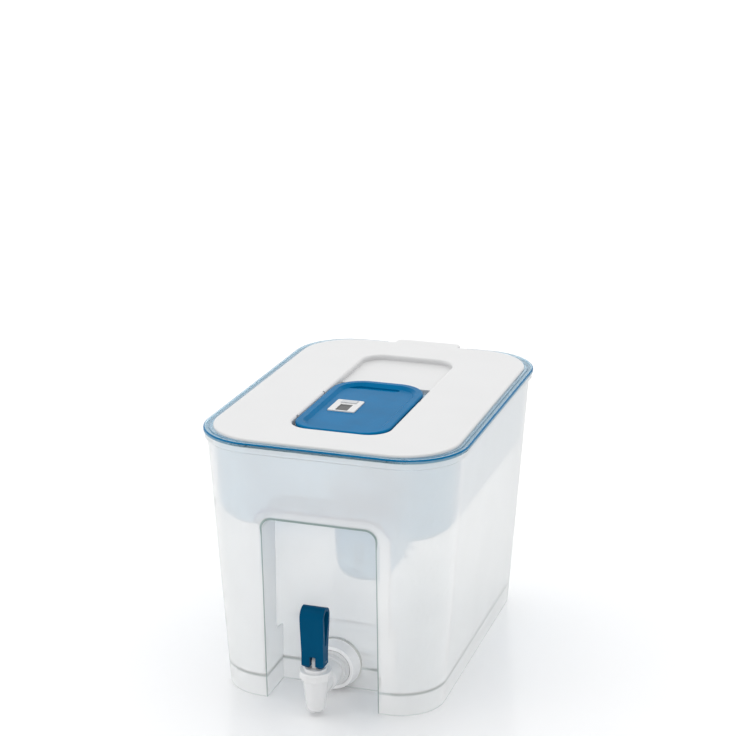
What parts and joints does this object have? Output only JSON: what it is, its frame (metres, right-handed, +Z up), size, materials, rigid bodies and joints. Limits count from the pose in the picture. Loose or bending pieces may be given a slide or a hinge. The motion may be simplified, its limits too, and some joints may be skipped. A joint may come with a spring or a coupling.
{
  "type": "gravity water filter with tap",
  "caption": "Clear tank with a lever tap, a hanging blue filter tray with a cartridge, and a white lid with a tipping fill flap.",
  "frame": {"origin": "centre of the base, on the surface that the tank stands on", "axes": "+Z up, the tap faces -Y, +X to the right when the tap is seen from the front"},
  "size_m": [0.202, 0.3029, 0.206],
  "materials": {
    "clear_tank": "clear, slightly frosted",
    "blue_tray": "translucent blue",
    "white_cartridge": "satin",
    "carbon": "granular",
    "mesh": "woven",
    "white_lid": "gloss",
    "blue_flap": "gloss",
    "white_bezel": "gloss",
    "display": "gloss",
    "grey_button": "satin",
    "board": "satin",
    "cell_steel": "satin",
    "white_tap": "gloss",
    "white_rubber": "matt",
    "pin_steel": "satin",
    "blue_lever": "gloss"
  },
  "bodies": {
    "tank": {"tank": "clear_tank", "tap_body": "white_tap", "tap_ring_nut": "white_tap", "outer_washer": "white_rubber", "inner_washer": "white_rubber", "lock_nut": "white_tap", "tap_bonnet": "white_tap", "bonnet_gasket": "white_rubber"},
    "stem": {"valve_stem": "white_tap", "seat_cup": "white_rubber", "lever_pin": "pin_steel"},
    "lever": {"tap_lever": "blue_lever"},
    "hopper": {"hopper": "blue_tray"},
    "cartridge": {"cartridge_cup": "white_cartridge", "cartridge_cover": "white_cartridge", "filter_granules": "carbon", "inlet_screen": "mesh"},
    "lid": {"lid": "white_lid"},
    "hinge_rod": {"flap_hinge_rod": "pin_steel"},
    "flap": {"flap": "blue_flap", "indicator_housing": "blue_flap", "indicator_board": "board", "coin_cell": "cell_steel", "indicator_screen": "display", "indicator_bezel": "white_bezel"},
    "button": {"indicator_button": "grey_button"}
  },
  "joints": [
    {"name": "hopper_lift", "type": "slide", "parent": "tank", "child": "hopper", "axis": [0, 0, 1], "range_m": [0, 0.119]},
    {"name": "lid_lift", "type": "slide", "parent": "hopper", "child": "lid", "axis": [0, 0, 1], "range_m": [0, 0.1385]},
    {"name": "cartridge_lift", "type": "slide", "parent": "hopper", "child": "cartridge", "axis": [0, 0, 1], "range_m": [0, 0.142]},
    {"name": "flap_lift", "type": "slide", "parent": "lid", "child": "hinge_rod", "axis": [0, 0, 1], "range_m": [0, 0.0385]},
    {"name": "flap_hinge", "type": "hinge", "parent": "hinge_rod", "child": "flap", "pos_m": [0, -0.012, 0.201], "axis": [1, 0, 0], "range_deg": [-100, 0]},
    {"name": "indicator_press", "type": "slide", "parent": "flap", "child": "button", "axis": [0, 0, 1], "range_m": [-0.0006, 0], "stiffness_N_per_m": 300, "springref_m": 0.0003},
    {"name": "stem_lift", "type": "slide", "parent": "tank", "child": "stem", "axis": [0, 0, 1], "range_m": [0, 0.0035]},
    {"name": "lever_tilt", "type": "hinge", "parent": "stem", "child": "lever", "pos_m": [0, -0.1435, 0.0432], "axis": [-1, 0, 0], "range_deg": [-80, 0]}
  ],
  "couplings": [
    {"joint": "cartridge_lift", "follows": "lid_lift", "ratio": 1.0231},
    {"joint": "stem_lift", "follows": "lever_tilt", "m_per_rad": -0.0025}
  ]
}
